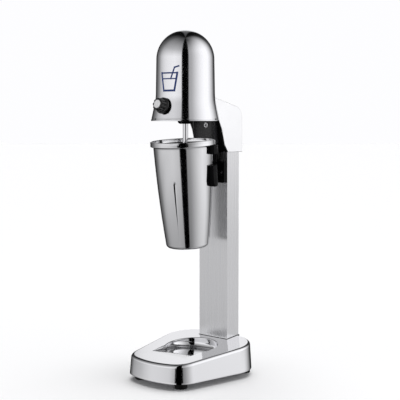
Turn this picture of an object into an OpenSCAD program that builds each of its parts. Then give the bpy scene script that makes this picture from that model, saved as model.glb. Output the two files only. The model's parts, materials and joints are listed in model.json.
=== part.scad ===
// Single-spindle milkshake mixer on a polished base, with a tapered steel cup.
// Millimetres, +Z up, front towards -Y. The origin is the middle of the footprint, on the table.

/* [Overall] */
// Height from the table to the top of the motor head
total_h = 530; // [525:1:540]
// Y of the spindle axis, in front of the middle of the footprint
spindle_y = -8; // [-10:1:-6]

/* [Base] */
// Radius of the two front corners of the footprint
base_front_r = 37; // [35:0.5:38]
// X of the centres of the front corners
base_front_x = 25.7; // [24:0.1:27]
// Y of the centres of the front corners
base_front_y = -51.8; // [-53:0.1:-50]
// Radius of the two rear corners of the footprint
base_rear_r = 48.5; // [46:0.5:49]
// X of the centres of the rear corners
base_rear_x = 31.4; // [30:0.1:32]
// Y of the centres of the rear corners
base_rear_y = 38.2; // [36:0.1:39]
// Y reached by the bowed front and rear edges
base_reach = 92.5; // [92:0.5:94]
// Height of the underside of the base shell
base_z = 9.5; // [9:0.5:11]
// Height of the top face at Y = 0
base_top_z = 44.7; // [43:0.1:46]
// Rise of the top face per millimetre towards the rear
base_slope = 0.0835; // [0.07:0.0005:0.09]
// Wall thickness of the base shell
base_wall = 2; // [1.8:0.1:2.2]

/* [Cup recess in the base] */
// Radius of the round part of the recess
recess_r = 41; // [39:0.5:42]
// Y of the centre of the round part
recess_y = 5; // [3:0.5:6]
// Half width of the channel at its front end
recess_front_x = 34; // [32:0.5:35]
// Half width of the channel where it meets the round part
recess_mid_x = 37; // [36:0.5:38]
// Y of the front end, where the recess runs out
recess_front_y = -48; // [-50:0.5:-46]
// Fall of the recess floor per millimetre towards the rear
recess_fall = 0.091; // [0.08:0.001:0.095]

/* [Feet] */
// Radius of a rubber foot at its top
foot_r = 10.3; // [9.5:0.1:10.5]
// X and Y of the front feet
foot_front = [40.2, -64.2];
// X and Y of the rear feet
foot_rear = [54.5, 68];

/* [Column] */
// Width of the column across X
column_w = 57; // [56:0.5:57]
// Depth of the column along Y
column_d = 29; // [28:0.5:29]
// Y of the front face of the column
column_y = 58; // [58:0.5:58.5]
// Wall thickness of the column tube
column_wall = 1.5; // [1.2:0.1:1.6]

/* [Rear cover] */
// Width of the rear cover
cover_w = 62; // [61:0.5:63]
// Sheet thickness of the rear cover
cover_t = 2; // [1.8:0.1:2]
// Height of its bottom edge
cover_z = 344.5; // [344:0.5:345]

/* [Motor head] */
// Radius of the dome
head_r = 44; // [44:0.5:44.5]
// Radius where the straight part turns into the flare
head_waist_r = 45; // [45:0.5:45.5]
// Radius of the bottom edge of the flare
head_skirt_r = 52.3; // [52:0.1:53]
// Height of the bottom edge of the flare
head_z = 393; // [393:0.5:394]
// Thickness of the head shell
head_t = 1.2; // [1:0.1:1.2]

/* [Speed knob] */
// Height of the point where the knob's axis leaves the head
knob_z = 415; // [414:0.5:416]
// Tilt of the knob's axis above the horizontal
knob_tilt = 12; // [11:0.5:13]
// Number of flutes around the knob
knob_flutes = 18; // [12:1:24]

/* [Spindle] */
// Radius of the spindle rod
rod_r = 4; // [4:0.05:4.2]
// Height of the lower tip of the rod
rod_tip_z = 221; // [221:0.5:223]
// Radius of the agitator disc
agitator_r = 14; // [12:0.5:15]

/* [Cup] */
// Height of the middle of the cup's underside
cup_z = 200.6; // [200:0.1:201]
// Y of the middle of the cup's underside
cup_y = -2.6; // [-3:0.1:-2.4]
// Lean of the cup towards the front
cup_lean = 4; // [3.8:0.1:4.2]
// Length of the cup from its underside to the rim
cup_len = 163.3; // [162:0.1:164]
// Outer radius of the rim band
rim_r = 49.7; // [49.5:0.1:50]
// Height of the rim band
rim_h = 7.8; // [7:0.1:8]
// Wall thickness of the cup
cup_t = 1; // [0.8:0.1:1]

/* [Hidden] */
$fn = 96;
eps = 0.01;
// Clearance between neighbouring pieces, and round a screw
gap = 0.3;
screw_gap = 0.1;
plate_z = base_z + 0.5;
plate_t = 1.5;
plate_top = plate_z + plate_t;
column_rear = column_y + column_d;
column_top = 378;
arm_z = 345;
arm_half = 28.5;
holder_z = 297;
waist_z = head_z + (head_skirt_r - head_waist_r) / tan(12);
dome_z = total_h - head_r;
head_plate_z = head_z + gap;
head_plate_t = 4;
head_sink = 2.2;
head_plate_r = 49.8;
deck_z = head_plate_z + head_plate_t;
motor_base_z = 412;
core_z = 436;
core_h = 26;
brush_z = 477;
motor_top_z = 488;
bolt_ring = 36.2;
bearing_w = 7;
bearing_r = 11;
rim_s = cup_len - rim_h;

// Places of the feet and the repeated fasteners, as [x, y]
FEET = [
    [-foot_front[0], foot_front[1]],
    [foot_front[0], foot_front[1]],
    [-foot_rear[0], foot_rear[1]],
    [foot_rear[0], foot_rear[1]]
];
PLATE_SCREWS = [for (s = [-1, 1], p = [[30, -76], [60, 5], [66, 45]]) [s * p[0], p[1]]];
COLUMN_BOLTS = [for (x = [-18, 18], y = [-8, 8]) [x, column_y + column_d / 2 + y]];
MOUNTS = [for (x = [-24, 24], y = [-24, 24]) [x, spindle_y + y]];
ARM_SCREWS = [for (x = [-15, 15], y = [27.5, 35]) [x, y]];

// ---------- shared shapes ----------

function arc(c, r, a0, a1, n) =
    [for (i = [0:n]) let (a = a0 + (a1 - a0) * i / n) [c[0] + r * cos(a), c[1] + r * sin(a)]];

// Radius of the bow that touches both corner circles and reaches e beyond their centres
function bow_r(x, e, r) = (x * x + e * e - r * r) / (2 * (e - r));

// Footprint of the base, moved inwards by d: bowed front and rear, straight sides, round corners
function base_outline(d) =
    let (
        ef = base_reach + base_front_y,
        er = base_reach - base_rear_y,
        bf = bow_r(base_front_x, ef, base_front_r),
        br = bow_r(base_rear_x, er, base_rear_r),
        cf = [base_front_x, base_front_y],
        cr = [base_rear_x, base_rear_y],
        af = atan2(base_front_y - (bf - base_reach), base_front_x),
        ar = atan2(base_rear_y - (base_reach - br), base_rear_x),
        away = cf - cr,
        side = atan2(away[1], away[0]) + acos((base_rear_r - base_front_r) / norm(away)),
        half = concat(
            arc([0, bf - base_reach], bf - d, -90, af, 6),
            arc(cf, base_front_r - d, af, side, 14),
            arc(cr, base_rear_r - d, side, ar, 16),
            arc([0, base_reach - br], br - d, ar, 90, 6)
        )
    )
    concat(half, [for (i = [len(half) - 1:-1:0]) [-half[i][0], half[i][1]]]);

function top_z(y) = base_top_z + base_slope * y;
function floor_z(y) = top_z(recess_front_y) - recess_fall * (y - recess_front_y);

// Everything below the sloping top face, lowered by d
module under_top(d) {
    rotate([90, 0, 90])
        linear_extrude(240, center = true)
            polygon([[-120, 0], [120, 0], [120, top_z(120) - d], [-120, top_z(-120) - d]]);
}

// Keyhole-shaped recess: a round pocket with a channel that runs out at the front
module recess(d) {
    intersection() {
        translate([0, 0, -5])
            linear_extrude(80)
                union() {
                    translate([0, recess_y])
                        circle(recess_r + d);
                    polygon([
                        [-recess_mid_x - d, recess_y], [recess_mid_x + d, recess_y],
                        [recess_front_x + d, recess_front_y - d], [-recess_front_x - d, recess_front_y - d]
                    ]);
                }
        rotate([90, 0, 90])
            linear_extrude(240, center = true)
                polygon([
                    [recess_front_y - d, floor_z(recess_front_y) - d], [100, floor_z(100) - d],
                    [100, 90], [recess_front_y - d, 90]
                ]);
    }
}

module column_section(d) {
    translate([0, column_y + column_d / 2])
        square([column_w - 2 * d, column_d - 2 * d], center = true);
}

// Screw standing on its tip at the origin: shank up to h, then a head
module screw(r, h, head_r, head_h) {
    cylinder(r = r, h = h + eps);
    translate([0, 0, h])
        cylinder(r = head_r, h = head_h);
}

// A flat ring, or a sector of one that is centred on the +X axis
module ring(r0, r1, h) {
    difference() {
        cylinder(r = r1, h = h);
        translate([0, 0, -1])
            cylinder(r = r0, h = h + 2);
    }
}

module sector(r0, r1, h, half) {
    intersection() {
        ring(r0, r1, h);
        translate([0, 0, -1])
            linear_extrude(h + 2)
                polygon([[0, 0], 2 * r1 * [cos(half), -sin(half)], [3 * r1, 0], 2 * r1 * [cos(half), sin(half)]]);
    }
}

module at_spindle(z) {
    translate([0, spindle_y, z])
        children();
}

// Frame of the leaning cup: origin at the middle of its underside, +Z along its axis
module at_cup(s) {
    translate([0, cup_y, cup_z])
        rotate([cup_lean, 0, 0])
            translate([0, 0, s])
                children();
}

// Frame of the knob: origin on the flare, +Z outwards along the knob's axis
function flare_r(z) = head_waist_r + (waist_z - z) * tan(12);
module at_knob(h) {
    translate([0, spindle_y - flare_r(knob_z), knob_z])
        rotate([90 - knob_tilt, 0, 0])
            translate([0, 0, h])
                children();
}

// Round tube swept along a list of points
function unit(v) = v / norm(v);
function tangent(p, i) = unit(p[min(i + 1, len(p) - 1)] - p[max(i - 1, 0)]);
module sweep(p, r, sides, side_axis) {
    n = len(p);
    rings = [for (i = [0:n - 1])
        let (t = tangent(p, i), u = unit(cross(t, side_axis)), v = cross(t, u))
        for (k = [0:sides - 1]) p[i] + r * (cos(360 * k / sides) * u + sin(360 * k / sides) * v)];
    walls = [for (i = [0:n - 2], k = [0:sides - 1])
        let (a = i * sides + k, b = i * sides + (k + 1) % sides)
        [a, b, b + sides, a + sides]];
    ends = [[for (k = [sides - 1:-1:0]) k], [for (k = [0:sides - 1]) (n - 1) * sides + k]];
    polyhedron(points = rings, faces = concat(walls, ends), convexity = 4);
}

// ---------- base ----------

module base_shell() {
    color([0.86, 0.86, 0.88]) difference() {
        union() {
            difference() {
                intersection() {
                    translate([0, 0, base_z])
                        linear_extrude(70)
                            polygon(base_outline(0));
                    under_top(0);
                }
                difference() {
                    intersection() {
                        translate([0, 0, base_z - 1])
                            linear_extrude(70)
                                polygon(base_outline(base_wall));
                        under_top(base_wall);
                    }
                    recess(base_wall);
                }
            }
            intersection() {
                for (p = PLATE_SCREWS)
                    translate([p[0], p[1], plate_top])
                        cylinder(r = 4.5, h = 50);
                under_top(base_wall / 2);
            }
        }
        recess(0);
        translate([0, 0, plate_top])
            linear_extrude(70)
                column_section(-gap);
        for (p = PLATE_SCREWS)
            translate([p[0], p[1], 0])
                cylinder(r = 1.5 + screw_gap, h = 26);
    }
}

module base_plate() {
    color([0.55, 0.56, 0.58]) difference() {
        translate([0, 0, plate_z])
            linear_extrude(plate_t)
                polygon(base_outline(base_wall + gap));
        for (p = PLATE_SCREWS)
            translate([p[0], p[1], 0])
                cylinder(r = 1.8, h = 20);
        for (p = FEET)
            translate([p[0], p[1], 0])
                cylinder(r = 2.2, h = 20);
        for (p = COLUMN_BOLTS)
            translate([p[0], p[1], 0])
                cylinder(r = 2.8, h = 20);
    }
}

module base_plate_screws() {
    color([0.4, 0.4, 0.42]) for (p = PLATE_SCREWS)
        translate([p[0], p[1], 24])
            mirror([0, 0, 1])
                screw(1.5, 24 - plate_z, 3.2, 2);
}

module foot(p) {
    color([0.06, 0.06, 0.06]) translate([p[0], p[1], 0]) difference() {
        union() {
            cylinder(r1 = foot_r - 0.9, r2 = foot_r, h = base_z - gap);
            cylinder(r = 7, h = plate_z);
        }
        translate([0, 0, -1])
            cylinder(r = 4.5, h = 4.5);
        cylinder(r = 2.1, h = 20);
    }
}

module foot_screws() {
    color([0.6, 0.6, 0.62]) for (p = FEET)
        translate([p[0], p[1], 0]) {
            translate([0, 0, 20])
                mirror([0, 0, 1])
                    screw(2, 16.5, 4, 2);
            translate([0, 0, plate_top])
                difference() {
                    cylinder(r = 4, h = 3.2, $fn = 6);
                    translate([0, 0, -1])
                        cylinder(r = 1.99, h = 6);
                }
        }
}

// ---------- column ----------

module column() {
    color([0.70, 0.70, 0.71]) difference() {
        translate([0, 0, plate_top])
            linear_extrude(column_top - plate_top)
                difference() {
                    column_section(0);
                    column_section(column_wall);
                }
        for (x = [-22, 22])
            translate([x, column_y - 1, holder_z + 16])
                rotate([-90, 0, 0])
                    cylinder(r = 2.2, h = 5);
        for (x = [-18, 18], z = [358, 372])
            translate([x, column_rear - 5, z])
                rotate([-90, 0, 0])
                    cylinder(r = 1.6, h = 10);
        translate([0, column_rear - 5, 78])
            rotate([-90, 0, 0])
                cylinder(r = 6.1, h = 10);
    }
}

module column_foot() {
    color([0.5, 0.5, 0.52]) difference() {
        translate([0, 0, plate_top])
            linear_extrude(34)
                column_section(column_wall + gap);
        translate([0, column_y + column_d / 2, plate_top + 22])
            cube([30, 40, 30], center = true);
        for (p = COLUMN_BOLTS)
            translate([p[0], p[1], 0])
                cylinder(r = 2.5 + screw_gap, h = 36);
    }
}

module column_bolts() {
    color([0.45, 0.45, 0.47]) for (p = COLUMN_BOLTS)
        translate([p[0], p[1], 34])
            mirror([0, 0, 1])
                screw(2.5, 34 - plate_z, 4.5, 3.5);
}

// Low bushing in the back of the column where a supply cord enters
module cord_gland() {
    color([0.05, 0.05, 0.05]) translate([0, column_rear, 78]) rotate([-90, 0, 0]) difference() {
        union() {
            translate([0, 0, -8])
                cylinder(r = 6, h = 9);
            cylinder(r = 9, h = 2.5);
            cylinder(r1 = 8, r2 = 6.5, h = 5.2);
        }
        translate([0, 0, -9])
            cylinder(r = 3.5, h = 20);
    }
}

module gland_nut() {
    color([0.05, 0.05, 0.05]) translate([0, column_rear - column_wall, 78]) rotate([90, 0, 0]) difference() {
        cylinder(r = 9, h = 3.5, $fn = 6);
        translate([0, 0, -1])
            cylinder(r = 6, h = 6);
    }
}

// Insulated lead from the gland up the inside of the column to the terminal block
module supply_lead() {
    bend = 8;
    rise = [for (a = [0:15:90]) [0, 69 + bend * (1 - sin(a)), 78 + bend * (1 - cos(a))]];
    path = concat([[0, 79, 78]], rise, [for (z = [110:40:350]) [0, 69, z]], [[0, 69, 384.5]]);
    color([0.12, 0.12, 0.13]) sweep(path, 2.4, 10, [1, 0, 0]);
}

// ---------- arm, rear cover and neck ----------

// Side outline of the rear cover, as [y, z]
COVER_SIDE = concat(
    [[57, cover_z], [92.5, cover_z]],
    arc([73, 397], 19.5, 0, 76.2, 8),
    [[20, 430.1], [20, head_z], [35, head_z], [42, 380], [48.4, 357]]
);

module side_plate(w) {
    rotate([90, 0, 90])
        linear_extrude(w, center = true)
            children();
}

// The head shell's outer form, grown by d
module head_form(d) {
    at_spindle(0)
        rotate_extrude()
            polygon(concat(
                [[0, head_z - 5], [head_skirt_r + 5 * tan(12) + d, head_z - 5]],
                [[head_waist_r + d, waist_z]],
                arc([0, dome_z], head_r + d, 0, 90, 16)
            ));
}

module head_arm() {
    color([0.09, 0.09, 0.10]) difference() {
        union() {
            side_plate(2 * arm_half) polygon([
                [56.3, arm_z], [column_y - gap, arm_z], [column_y - gap, 392.7],
                [34.5, 392.7], [40.6, 380], [46.9, 357]
            ]);
            translate([-arm_half, column_y - 1, column_top + gap])
                cube([2 * arm_half, column_d, 4.5]);
            translate([0, 0, 350])
                linear_extrude(column_top - 350 + 1)
                    column_section(column_wall + gap);
            side_plate(44) polygon([
                [24, deck_z], [column_y - 1, deck_z], [column_y - 1, column_top + 1],
                [61.5, column_top + 1], [61.5, deck_z + 6], [24, deck_z + 6]
            ]);
        }
        translate([0, 0, 395])
            cube([70, 2 * (spindle_y + head_plate_r + gap), 2 * (deck_z - 395)], center = true);
        translate([-23 - gap, 0, 359 - gap])
            cube([2 * (23 + gap), 50 + gap, 392.8 - 359 + gap]);
        translate([-13 - gap, 0, 330])
            cube([2 * (13 + gap), 50 + gap, 358 - 330 + 1.2]);
        translate([0, 69, 340])
            cylinder(r = 4, h = 80);
        translate([0, 40, 386.7])
            rotate([-90, 0, 0])
                cylinder(r = 2 + screw_gap, h = 14.5);
        for (p = ARM_SCREWS)
            translate([p[0], p[1], deck_z - 1])
                cylinder(r = 2 + screw_gap, h = 20);
        for (x = [-18, 18], z = [358, 372])
            translate([x, column_rear - 12, z])
                rotate([-90, 0, 0])
                    cylinder(r = 1.5 + screw_gap, h = 14);
    }
}

module arm_screws() {
    color([0.5, 0.5, 0.52]) for (p = ARM_SCREWS)
        translate([p[0], p[1], deck_z - 3.5])
            screw(2, 9.5, 3.6, 2.4);
}

module rear_cover() {
    color([0.91, 0.91, 0.93]) difference() {
        side_plate(cover_w)
            polygon(COVER_SIDE);
        side_plate(cover_w - 2 * cover_t)
            offset(delta = -cover_t)
                polygon(COVER_SIDE);
        side_plate(cover_w - 2 * cover_t)
            polygon([
                [10, cover_z - 1], [92.5 - cover_t, cover_z - 1], [92.5 - cover_t, cover_z + 5],
                [66, cover_z + 5], [52, 380], [44, 398], [10, 398]
            ]);
        side_plate(cover_w - 2 * cover_t)
            polygon([[10, 380], [40, 380], [40, 423.1], [10, 430.4]]);
        head_form(gap);
        for (x = [-18, 18], z = [358, 372])
            translate([x, 93, z])
                rotate([90, 0, 0]) {
                    cylinder(r = 1.5 + screw_gap, h = 8);
                    translate([0, 0, 0.5 - eps])
                        cylinder(r1 = 3 + screw_gap, r2 = 1.5 + screw_gap, h = 1.5);
                }
    }
}

module cover_spacers() {
    color([0.6, 0.6, 0.62]) for (x = [-18, 18], z = [358, 372])
        translate([x, column_rear, z])
            rotate([-90, 0, 0])
                ring(1.5 + screw_gap, 4, 92.5 - cover_t - column_rear);
}

module rear_cover_screws() {
    color([0.72, 0.72, 0.74]) for (x = [-18, 18], z = [358, 372])
        translate([x, 92.5, z])
            rotate([90, 0, 0]) {
                cylinder(r = 1.5, h = 16);
                cylinder(r1 = 3, r2 = 1.5, h = 1.5);
            }
}

// Dark guard between the head and the cup, hollowed round the cup
module neck_guard() {
    color([0.16, 0.16, 0.17]) difference() {
        intersection() {
            rotate([90, 0, 0])
                linear_extrude(120, center = true)
                    polygon([[-19, 359], [19, 359], [20, 372], [23, 392.7], [-23, 392.7], [-20, 372]]);
            translate([-30, 34.6, 350])
                cube([60, 50 - 34.6, 50]);
        }
        translate([0, 7.5, 340])
            cylinder(r = 34, h = 70);
        translate([0, 60, 386.7])
            rotate([90, 0, 0])
                cylinder(r = 2 + screw_gap, h = 30);
        translate([0, 43.2, 386.7])
            rotate([90, 0, 0])
                cylinder(r = 4.3 + screw_gap, h = 20);
    }
}

module neck_screw() {
    color([0.9, 0.9, 0.9]) translate([0, 53, 386.7]) rotate([90, 0, 0]) difference() {
        screw(2, 9.8, 4.25, 3.2);
        translate([0, 0, 11])
            cylinder(r = 2, h = 5, $fn = 6);
    }
}

// ---------- cup holder ----------

// One curved arm pair round the cup, open towards the front, from s0 up over h
module yoke(s0, h, r0, r1) {
    at_cup(s0)
        rotate([0, 0, 90])
            sector(r0, r1, h, 78);
}

module cup_holder() {
    color([0.07, 0.07, 0.08]) difference() {
        union() {
            translate([-column_w / 2, 50, holder_z])
                cube([column_w, column_y - 50, 32]);
            translate([-13, 34, holder_z])
                cube([26, 16 + eps, 358 - holder_z]);
            yoke(rim_s - gap - 13, 13, 40, 53);
            difference() {
                yoke(93, 32, 40, 50.5);
                at_cup(93)
                    side_plate(120)
                        polygon([[0, -1], [14, -1], [8.5, 11], [0, 11]]);
            }
        }
        at_cup(0)
            cylinder(r1 = cup_r(0) + 3.2, r2 = cup_r(0) + 3.2, h = 20);
        at_cup(95)
            cylinder(r1 = cup_r(95) + 0.6, r2 = cup_r(125) + 0.6, h = 30.01);
        at_cup(125)
            cylinder(r1 = cup_r(125) + 0.6, r2 = cup_r(rim_s) + 0.9, h = rim_s - 125);
        at_cup(60)
            cylinder(r = cup_r(95) + 0.6, h = 35.1);
        at_cup(rim_s - gap)
            cylinder(r = 70, h = 40);
        for (x = [-22, 22])
            translate([x, 40, holder_z + 16])
                rotate([-90, 0, 0])
                    cylinder(r = 2.2, h = 30);
    }
}

module holder_screws() {
    color([0.5, 0.5, 0.52]) for (x = [-22, 22])
        translate([x, 64, holder_z + 16])
            rotate([90, 0, 0])
                screw(2, 14, 3.8, 2.6);
}

module holder_nut_plate() {
    color([0.5, 0.5, 0.52]) difference() {
        translate([-26, column_y + column_wall, holder_z + 9])
            cube([52, 3, 14]);
        for (x = [-22, 22])
            translate([x, 50, holder_z + 16])
                rotate([-90, 0, 0])
                    cylinder(r = 2 + screw_gap, h = 20);
    }
}

// ---------- motor head ----------

module head_shell() {
    color([0.84, 0.84, 0.86]) difference() {
        intersection() {
            head_form(0);
            translate([-100, -100, head_z])
                cube(200);
        }
        head_form(-head_t);
        at_knob(-10)
            cylinder(r = 3.7, h = 20);
        translate([-22 - gap, 10, head_z - 1])
            cube([2 * (22 + gap), 60, 15.5]);
        for (a = SHELL_SCREWS)
            at_spindle(395.6)
                rotate([90, 0, a])
                    cylinder(r = 1.3, h = 60);
    }
}

// Angles of the small screws round the skirt, from the front
SHELL_SCREWS = [-18, 102, 222];

module head_plate() {
    color([0.12, 0.12, 0.13]) difference() {
        at_spindle(head_plate_z)
            cylinder(r = head_plate_r, h = head_plate_t);
        at_spindle(390)
            cylinder(r = 7, h = 20);
        for (p = ARM_SCREWS)
            translate([p[0], p[1], 390])
                cylinder(r = 2 + screw_gap, h = 20);
        for (p = MOUNTS)
            translate([p[0], p[1], 390]) {
                cylinder(r = 2.5 + screw_gap, h = 20);
                cylinder(r = 4.2 + gap, h = head_plate_z - 390 + head_sink);
            }
        for (a = SHELL_SCREWS)
            at_spindle(395.6)
                rotate([90, 0, a])
                    translate([0, 0, 44])
                        cylinder(r = 1.1 + screw_gap, h = 20);
    }
}

module head_plate_screws() {
    color([0.5, 0.5, 0.52]) for (p = MOUNTS)
        translate([p[0], p[1], motor_base_z + 5])
            mirror([0, 0, 1])
                screw(2.5, motor_base_z + 5 - head_plate_z - head_sink, 4.2, head_sink - 0.2);
}

module shell_screws() {
    color([0.2, 0.2, 0.2]) for (a = SHELL_SCREWS)
        at_spindle(395.6)
            rotate([90, 0, a])
                translate([0, 0, 45]) {
                    cylinder(r = 1.1, h = 7.6);
                }
}

// Dark bowl under the head round the spindle
module bushing_cap() {
    color([0.1, 0.1, 0.1]) at_spindle(head_plate_z) rotate_extrude() polygon(concat(
        [[7.1, 0], [12, 0]],
        arc([7.2, 0], 4.8, 0, -78, 6),
        [[rod_r + 0.5, -4.7], [rod_r + 0.5, -3.2], [7.1, -3.2]]
    ));
}

module spindle_bushing() {
    color([0.7, 0.5, 0.25]) at_spindle(head_plate_z - 3.1)
        ring(rod_r + 0.05, 7, 3.1 + head_plate_t);
}

module rubber_mounts() {
    color([0.08, 0.08, 0.08]) for (p = MOUNTS)
        translate([p[0], p[1], deck_z])
            ring(2.5 + screw_gap, 6, motor_base_z - deck_z);
}

// End frame: an eared disc with a bearing boss and a slotted wall that meets the stator
module lower_motor_bracket() {
    color([0.62, 0.62, 0.64]) difference() {
        union() {
            at_spindle(motor_base_z)
                cylinder(r = 39, h = 3);
            at_spindle(motor_base_z)
                cylinder(r = 13.5, h = bearing_w + 2);
            at_spindle(motor_base_z)
                ring(30.5, 33.8, core_z - motor_base_z);
        }
        at_spindle(motor_base_z - 1)
            cylinder(r = 8, h = 30);
        at_spindle(motor_base_z + 2)
            cylinder(r = bearing_r, h = 30);
        for (a = [0, 90])
            at_spindle(motor_base_z + 12)
                rotate([0, 0, a])
                    cube([80, 16, 16], center = true);
        motor_bolt_holes();
        for (p = MOUNTS)
            translate([p[0], p[1], 400])
                cylinder(r = 2.5 + screw_gap, h = 18);
        at_spindle(motor_base_z + 3)
            translate([-9.5, -60, -10])
                cube([19, 24.5, 20]);
    }
}

module upper_motor_bracket() {
    color([0.62, 0.62, 0.64]) difference() {
        union() {
            at_spindle(motor_top_z)
                cylinder(r = 39, h = 3);
            at_spindle(motor_top_z)
                cylinder(r = 13.5, h = bearing_w + 3);
            at_spindle(core_z + core_h)
                ring(30.5, 33.8, motor_top_z - core_z - core_h);
        }
        at_spindle(motor_top_z - 1)
            cylinder(r = 8, h = 4);
        at_spindle(motor_top_z + 1.5)
            cylinder(r = bearing_r, h = bearing_w);
        at_spindle(motor_top_z + 3)
            cylinder(r = 8, h = 30);
        at_spindle(brush_z)
            cube([12.4, 80, 14.4], center = true);
        motor_bolt_holes();
    }
}

module motor_bolt_holes() {
    for (s = [-1, 1])
        translate([s * bolt_ring, spindle_y, motor_base_z - 10])
            cylinder(r = 1.7 + screw_gap, h = 100);
}

module motor_bolts() {
    color([0.6, 0.6, 0.62]) for (s = [-1, 1])
        translate([s * bolt_ring, spindle_y, motor_base_z - 4])
            screw(1.7, motor_top_z + 3 - motor_base_z + 4, 3.2, 2.4);
}

module ball_bearing() {
    color([0.75, 0.75, 0.77]) ring(rod_r + 0.02, bearing_r, bearing_w);
}

// Two-pole laminated core with windows for the field coils
module stator_core() {
    color([0.42, 0.43, 0.45]) at_spindle(core_z) difference() {
        cylinder(r = 33.8, h = core_h);
        translate([0, 0, -1])
            cylinder(r = 18.5, h = core_h + 2);
        for (s = [0, 180], t = [-1, 1])
            rotate([0, 0, s + t * 54])
                translate([0, 0, -1])
                    sector(20, 28.5, core_h + 2, 9.5);
    }
}

module stator_coils() {
    color([0.68, 0.36, 0.16]) for (s = [0, 180])
        at_spindle(core_z - 4.6)
            rotate([0, 0, s])
                difference() {
                    sector(20.4, 28, core_h + 9.2, 62);
                    translate([0, 0, 4.2])
                        sector(19, 30, core_h + 0.8, 47);
                }
}

module brush_frame(s) {
    at_spindle(brush_z)
        rotate([0, 0, s])
            children();
}

module brush_holders() {
    color([0.78, 0.62, 0.3]) for (s = [90, 270])
        brush_frame(s)
            difference() {
                translate([13, -5, -6])
                    cube([23, 10, 12]);
                translate([12, -2.8, -3.8])
                    cube([22.5, 5.6, 7.6]);
            }
}

module brushes() {
    color([0.15, 0.15, 0.16]) for (s = [90, 270])
        brush_frame(s)
            translate([10.4, -2.5, -3.5])
                cube([14, 5, 7]);
}

module brush_springs() {
    color([0.7, 0.7, 0.72]) for (s = [90, 270])
        brush_frame(s)
            translate([24.7, 0, 0])
                rotate([0, 90, 0])
                    ring(1.5, 2.2, 9.4);
}

// ---------- turning parts ----------

module rotor_core() {
    color([0.45, 0.46, 0.48]) at_spindle(core_z) difference() {
        cylinder(r = 18, h = core_h);
        translate([0, 0, -1])
            cylinder(r = rod_r, h = core_h + 2);
        for (a = [0:30:330])
            rotate([0, 0, a])
                translate([14.5, 0, -1]) {
                    cylinder(r = 2, h = core_h + 2);
                    translate([0, -0.7, 0])
                        cube([5, 1.4, core_h + 2]);
                }
    }
}

module rotor_windings() {
    color([0.72, 0.38, 0.16]) for (z = [core_z - 5, core_z + core_h])
        at_spindle(z)
            difference() {
                cylinder(r = 16.5, h = 5);
                translate([0, 0, -1])
                    cylinder(r = rod_r, h = 8);
            }
}

module commutator() {
    color([0.75, 0.45, 0.2]) at_spindle(brush_z - 7) difference() {
        cylinder(r = 10, h = 13);
        translate([0, 0, -1])
            cylinder(r = rod_r, h = 20);
        for (a = [0:15:345])
            rotate([0, 0, a])
                translate([9.2, -0.2, -1])
                    cube([2, 0.4, 16]);
    }
}

module cooling_fan() {
    color([0.1, 0.1, 0.1]) at_spindle(motor_base_z + 11.5) difference() {
        union() {
            cylinder(r = 8, h = 6.5);
            cylinder(r = 27, h = 1.2);
            for (a = [0:30:330])
                rotate([0, 0, a])
                    translate([7, -0.6, 0])
                        cube([19, 1.2, 6.5]);
        }
        translate([0, 0, -1])
            cylinder(r = rod_r, h = 20);
    }
}

module motor_shaft() {
    color([0.75, 0.75, 0.77]) at_spindle(404.6)
        cylinder(r = rod_r, h = 92);
}

module shaft_coupling() {
    color([0.7, 0.7, 0.72]) at_spindle(deck_z + 1.3) difference() {
        cylinder(r = 7.5, h = 12);
        translate([0, 0, -1])
            cylinder(r = rod_r, h = 20);
        translate([0, 0, 3])
            rotate([90, 0, 0])
                cylinder(r = 1.5, h = 20);
        translate([0, 0, 9])
            rotate([90, 0, 0])
                cylinder(r = 1.5, h = 20);
    }
}

module spindle() {
    color([0.8, 0.8, 0.82]) at_spindle(0) difference() {
        union() {
            translate([0, 0, rod_tip_z + 1])
                cylinder(r = rod_r, h = 404.6 - rod_tip_z - 1);
            translate([0, 0, rod_tip_z])
                cylinder(r1 = rod_r - 1, r2 = rod_r, h = 1);
        }
        translate([0, 0, rod_tip_z + 2])
            ring(2.5, 5, 6);
    }
}

// Crimped disc that froths the drink, held in a neck near the tip of the rod
module agitator() {
    color([0.8, 0.8, 0.82]) at_spindle(rod_tip_z + 2) difference() {
        union() {
            translate([0, 0, 2.2])
                cylinder(r = agitator_r - 1, h = 1.6);
            cylinder(r = 6, h = 6);
            for (a = [0:30:330])
                rotate([0, 0, a])
                    translate([agitator_r - 4.5, -1.2, (a % 60 == 0) ? 0.6 : 2.4])
                        cube([4.5, 2.4, 3]);
        }
        translate([0, 0, -1])
            cylinder(r = 2.5, h = 10);
    }
}

// ---------- speed control ----------

module speed_knob() {
    color([0.05, 0.05, 0.05]) at_knob(0) difference() {
        union() {
            translate([0, 0, 3])
                cylinder(r1 = 12.4, r2 = 11.8, h = 2.4);
            translate([0, 0, 5.3])
                difference() {
                    cylinder(r1 = 10.2, r2 = 9.4, h = 10);
                    for (i = [0:knob_flutes - 1])
                        rotate([0, 0, i * 360 / knob_flutes])
                            translate([10.6, 0, -1])
                                cylinder(r = 1, h = 12);
                }
        }
        translate([0, 0, 2])
            cylinder(r = 6.4, h = 4);
        translate([0, 0, 5])
            cylinder(r = 3, h = 8);
        translate([0, 0, 14.5])
            cylinder(r = 6.3, h = 2);
    }
}

module knob_cap() {
    color([0.85, 0.85, 0.87]) at_knob(14.5)
        cylinder(r = 6.2, h = 1.4);
}

module speed_pot() {
    color([0.3, 0.32, 0.3]) at_knob(0) difference() {
        union() {
            translate([0, 0, -11])
                cylinder(r = 8.5, h = 8.8);
            translate([0, 0, -3])
                cylinder(r = 3.5, h = 8.2);
        }
        translate([0, 0, -9])
            cylinder(r = 3 + screw_gap / 2, h = 20);
    }
}

module pot_nut() {
    color([0.75, 0.75, 0.77]) at_knob(0.6) difference() {
        cylinder(r = 5.8, h = 2, $fn = 6);
        translate([0, 0, -1])
            cylinder(r = 3.5, h = 5);
    }
}

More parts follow.
